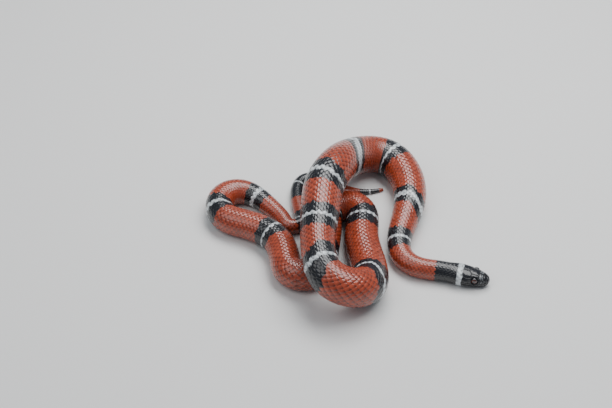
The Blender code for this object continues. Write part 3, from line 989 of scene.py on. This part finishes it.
def inside_distance(corners, x, y):
    """How far each point is inside a polygon, and below zero outside it."""
    away = np.full(x.shape, np.inf)
    crossings = np.zeros(x.shape, dtype=int)
    for (x0, y0), (x1, y1) in zip(corners, corners[1:] + corners[:1]):
        edge_x = x1 - x0
        edge_y = y1 - y0
        along = np.clip(((x - x0) * edge_x + (y - y0) * edge_y) / (edge_x**2 + edge_y**2), 0.0, 1.0)
        away = np.minimum(away, np.hypot(x - x0 - along * edge_x, y - y0 - along * edge_y))
        if y0 != y1:
            spans = (y0 > y) != (y1 > y)
            crossings += spans & (x < x0 + (y - y0) / edge_y * edge_x)
    return np.where(crossings % 2 == 1, away, -away)


def head_tint(back, a):
    """Black, with the pale band behind the head's shields."""
    ripple = sum(size * np.sin(waves * a + shift) for size, waves, shift in NAPE_RIPPLES)
    tint = np.tile(BLACK, (len(back), 1))
    tint[(back > NAPE_FROM + ripple) & (back < NAPE_TO + ripple)] = WHITE
    return tint


def mottle_at(x, y):
    """Seeded random blotches over the head, from waves that run in many directions."""
    least, most = FLECK_WAVE_RANGE
    rng = np.random.default_rng(FLECK_SEED)
    waves = rng.uniform((0.0, least, 0.0), (math.pi, most, 2.0 * math.pi), (FLECK_WAVES, 3))
    mottle = np.zeros(x.shape)
    for turn, wave, shift in waves:
        mottle += FLECK_WAVE_SIZE * np.sin(wave * (x * math.cos(turn) + y * math.sin(turn)) + shift)
    return mottle


def shield_shares(body, back, a):
    """How far inside a shield each place is, and how pale its flecks are."""
    y = np.abs(a) * head_mid(np.maximum(back, 0.0))
    best = np.full(back.shape, -1.0)
    flecked = np.zeros(back.shape)
    mottle = smooth_share(0.5 * mottle_at(back, y) + 0.5)
    for name, corners in all_shields(body).items():
        flat = [(b, math.radians(angle) * float(head_mid(max(b, 0.0)))) for b, angle in corners]
        inside = inside_distance(flat, back, y) - SHIELD_SEAM
        best = np.maximum(best, inside)
        if name in FLECKED:
            flecked = np.maximum(flecked, smooth_share((inside - FLECK_EDGE) / FLECK_FADE) * mottle)
    return best, flecked


def shell_faces(rows, turns):
    """Faces of a closed shell: an outer and an inner tube, joined at one end and capped at the other."""
    size = rows * turns
    quads = tube_quads(rows, turns)
    low, low_after = ring_pairs(0, turns)
    high, high_after = ring_pairs(size - turns, turns)
    rim = np.column_stack([low_after, low, size + low, size + low_after])
    faces = quads.tolist() + (size + quads[:, ::-1]).tolist() + rim.tolist()
    return faces + fan(high, high_after, 2 * size) + fan(size + high_after, size + high, 2 * size + 1)


def add_head_shields(body, material):
    """The shields of the head as one closed shell whose seams dip under the skin."""
    backs = np.arange(SHIELD_TO, SHIELD_FROM + 0.5 * SHIELD_STEP, -SHIELD_STEP)
    turns = np.linspace(-math.pi, math.pi, SHIELD_TURNS, endpoint=False)
    back, a = np.meshgrid(backs, turns, indexing="ij")
    best, flecked = shield_shares(body, back, a)
    s = body.head_end - back
    depth = DEPTH_SHARE * pitch_at(body, s)
    relief = head_relief(body, back, a)
    rise = (depth + SHIELD_BURIED) * smooth_share(best / SHIELD_EDGE)
    crown = SHIELD_CROWN * (np.clip(best / SHIELD_CROWN_EDGE, 0.0, 1.0) - 1.0)
    floor = relief - depth - SHIELD_BURIED
    outer = body.place(s, a, floor + rise + crown).reshape(-1, 3)
    inner = body.place(s, a, floor - SHIELD_THICK).reshape(-1, 3)
    tip_heights = np.array([0.0, -SHIELD_THICK - SHIELD_BURIED])
    tips = body.place(np.full(2, body.head_end + CAP), np.zeros(2), tip_heights)
    points = np.concatenate([outer, inner, tips])
    tint = head_tint(back.ravel(), a.ravel())
    tint += FLECK_LIGHT * flecked.reshape(-1, 1) * (np.array(WHITE) - tint)
    tint = np.concatenate([tint, tint, tint[[-1, -1]]])
    shields = add_mesh("head_shields", points, shell_faces(len(backs), SHIELD_TURNS), material, tint)
    across, along = bake_place(body, s.ravel(), a.ravel())
    tip_across, tip_along = bake_place(body, np.full(2, body.head_end + CAP), np.zeros(2))
    across = np.concatenate([across, across, tip_across])
    along = np.concatenate([along, along, tip_along])
    corner = corner_points(shields)
    set_bake_map(shields, closed_places(shields, np.column_stack([across[corner], along[corner]])))


def eye_ball():
    """Points of a round ball as shares out, along and up, their distance from its axis, and its faces."""
    rings = EYE_SEGMENTS // 2
    polar, turn = np.meshgrid(
        np.linspace(0.0, math.pi, rings + 1)[1:-1],
        np.linspace(0.0, 2.0 * math.pi, EYE_SEGMENTS, endpoint=False),
        indexing="ij",
    )
    out = np.append(np.cos(polar).ravel(), [1.0, -1.0])
    off_axis = np.append(np.sin(polar).ravel(), [0.0, 0.0])
    level = np.append((np.sin(polar) * np.cos(turn)).ravel(), [0.0, 0.0])
    rise = np.append((np.sin(polar) * np.sin(turn)).ravel(), [0.0, 0.0])
    size = (rings - 1) * EYE_SEGMENTS
    low, low_after = ring_pairs(0, EYE_SEGMENTS)
    high, high_after = ring_pairs(size - EYE_SEGMENTS, EYE_SEGMENTS)
    faces = tube_quads(rings - 1, EYE_SEGMENTS)[:, [0, 3, 2, 1]].tolist()
    faces += fan(low, low_after, size) + fan(high_after, high, size + 1)
    return out, level, rise, off_axis, faces


def add_eyes(body, material):
    """Two flattened balls with a round pupil and a dark iris."""
    angles = np.linspace(0.0, 0.5 * math.pi, EYE_LOOKS)
    side, height = side_and_height(body, np.full(len(angles), EYE_BACK), angles)
    reach = float(np.interp(EYE_HEIGHT, height[::-1], side[::-1])) - EYE_SINK
    out, level, rise, off_axis, faces = eye_ball()
    tint = np.tile(BLACK, (len(out), 1))
    tint[(off_axis > PUPIL_SHARE) & (off_axis < IRIS_SHARE)] = IRIS
    for word, sign in (("left", -1.0), ("right", 1.0)):
        centre = body.snout - EYE_BACK * body.ahead + sign * reach * body.across
        points = centre + sign * EYE_DEPTH * out[:, None] * body.across
        points = points + EYE_RADIUS * level[:, None] * body.ahead
        points[:, 2] = EYE_HEIGHT + EYE_RADIUS * rise
        order = faces if sign < 0.0 else [face[::-1] for face in faces]
        eye = add_mesh(f"eye_{word}_look", points, order, material, tint)
        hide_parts(f"eye_{word}")


def add_light(name, place, size_x, size_y, power):
    """A soft light with a square face that looks at the middle of the floor."""
    data = bpy.data.lights.new(name, "AREA")
    data.shape = "RECTANGLE"
    data.size = size_x
    data.size_y = size_y
    data.energy = power
    lamp = bpy.data.objects.new(name, data)
    lamp.location = place
    lamp.rotation_euler = (-Vector(place)).to_track_quat("-Z", "Y").to_euler()
    bpy.context.scene.collection.objects.link(lamp)


def add_floor():
    """A plain pale floor."""
    bpy.ops.mesh.primitive_plane_add(size=FLOOR_SIZE)
    floor = bpy.context.object
    floor.name = "floor"
    material = bpy.data.materials.new("plain_floor")
    material.use_nodes = True
    shader = material.node_tree.nodes["Principled BSDF"]
    shader.inputs["Base Color"].default_value = (*FLOOR, 1.0)
    shader.inputs["Roughness"].default_value = FLOOR_ROUGHNESS
    floor.data.materials.append(material)


def add_studio():
    """The floor, an even pale sky and the soft lights."""
    add_floor()
    world = bpy.data.worlds.new("studio")
    world.use_nodes = True
    background = world.node_tree.nodes["Background"]
    background.inputs["Color"].default_value = (*SKY, 1.0)
    background.inputs["Strength"].default_value = SKY_STRENGTH
    bpy.context.scene.world = world
    for name, light in LIGHTS.items():
        add_light(name, *light)


def add_camera():
    """The camera of the photo: a long lens that looks down at the snake."""
    data = bpy.data.cameras.new("camera")
    data.lens = LENS
    data.sensor_width = SENSOR
    data.shift_x = -OFF_RIGHT / PICTURE_WIDTH
    data.shift_y = OFF_DOWN / PICTURE_WIDTH
    data.clip_start = NEAR
    data.clip_end = FAR
    camera = bpy.data.objects.new("camera", data)
    elevation = math.radians(ELEVATION_DEG)
    back = Vector((0.0, -math.cos(elevation), math.sin(elevation)))
    camera.location = Vector(TARGET) + DISTANCE * back
    camera.rotation_euler = (math.pi / 2.0 - elevation, 0.0, 0.0)
    bpy.context.scene.collection.objects.link(camera)
    bpy.context.scene.camera = camera


def main():
    body = Body()
    rng = np.random.default_rng(SEED)
    look = {name: scaled_material(name, *finish) for name, finish in LOOKS.items()}
    flesh = [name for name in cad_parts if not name.startswith("eye")]
    add_skin(body, flesh, look["skin_look"])
    add_dorsal_scales(body, look["scale_look"], rng)
    add_belly_plates(body, look["scale_look"], rng)
    add_head_shields(body, look["shield_look"])
    add_eyes(body, look["eye_look"])
    add_studio()
    add_camera()


main()
